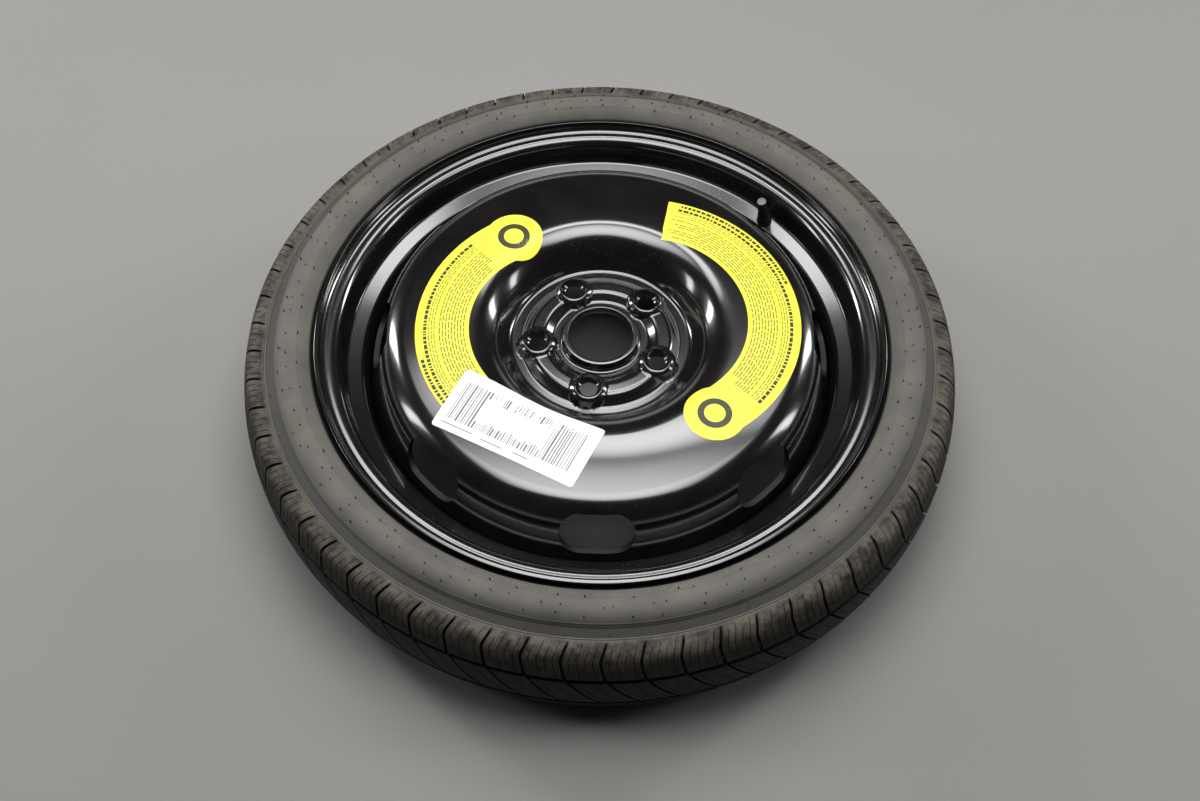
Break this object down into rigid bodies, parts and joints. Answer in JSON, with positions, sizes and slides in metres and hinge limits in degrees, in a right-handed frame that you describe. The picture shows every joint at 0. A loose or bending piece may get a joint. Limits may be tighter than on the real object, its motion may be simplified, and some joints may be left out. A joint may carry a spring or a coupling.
{
  "type": "spare wheel",
  "caption": "Narrow temporary spare wheel: black pressed-steel disc with a deep bowl and hand holes in a narrow rim, slim grooved tyre, snap-in valve and two curved yellow stickers.",
  "frame": {"origin": "centre of the wheel: on the wheel's axis, in the midplane between the two flanges of the rim", "axes": "+Z along the wheel's axis, out of its outer face; +X through the middle of the hand hole on the picture's right; the valve lies at 45 degrees between +X and +Y"},
  "size_m": [0.6322, 0.6322, 0.125],
  "materials": {
    "rim_paint": "gloss black paint",
    "disc_paint": "gloss black paint",
    "weld_paint": "gloss black paint over the weld",
    "tyre_rubber": "matt rubber with a grey bloom",
    "valve_rubber": "moulded rubber",
    "valve_brass": "turned brass",
    "core_brass": "turned brass",
    "gasket_rubber": "moulded rubber",
    "pin_brass": "drawn brass wire",
    "cup_rubber": "rubber faced cup",
    "spring_steel": "drawn steel wire",
    "cap_plastic": "moulded plastic, worn grey on top",
    "seal_rubber": "moulded rubber",
    "yellow_vinyl": "printed vinyl",
    "label_paper": "coated paper"
  },
  "bodies": {
    "wheel": {"rim": "rim_paint", "disc": "disc_paint", "weld_seams": "weld_paint", "tyre": "tyre_rubber", "valve_body": "valve_rubber", "valve_stem": "valve_brass", "core_barrel": "core_brass", "core_gasket": "gasket_rubber", "core_spring": "spring_steel", "speed_sticker_left": "yellow_vinyl", "speed_sticker_right": "yellow_vinyl", "stock_label": "label_paper"},
    "core_plunger": {"core_pin": "pin_brass", "core_cup": "cup_rubber"},
    "cap_carrier": {"cap_seal": "seal_rubber"},
    "cap": {"valve_cap": "cap_plastic"}
  },
  "joints": [
    {"name": "valve_pin", "type": "slide", "parent": "wheel", "child": "core_plunger", "axis": [0.183, 0.183, -0.9659], "range_m": [0, 0.001], "stiffness_N_per_m": 600, "springref_m": -0.003, "deforming": ["core_spring"]},
    {"name": "cap_rise", "type": "slide", "parent": "wheel", "child": "cap_carrier", "axis": [-0.183, -0.183, 0.9659], "range_m": [0, 0.00476]},
    {"name": "cap_turn", "type": "hinge", "parent": "cap_carrier", "child": "cap", "pos_m": [0.15452, 0.15452, 0.02115], "axis": [-0.183, -0.183, 0.9659], "range_deg": [0, 2161]}
  ],
  "couplings": [
    {"joint": "cap_turn", "follows": "cap_rise", "rad_per_m": 7915.8}
  ]
}
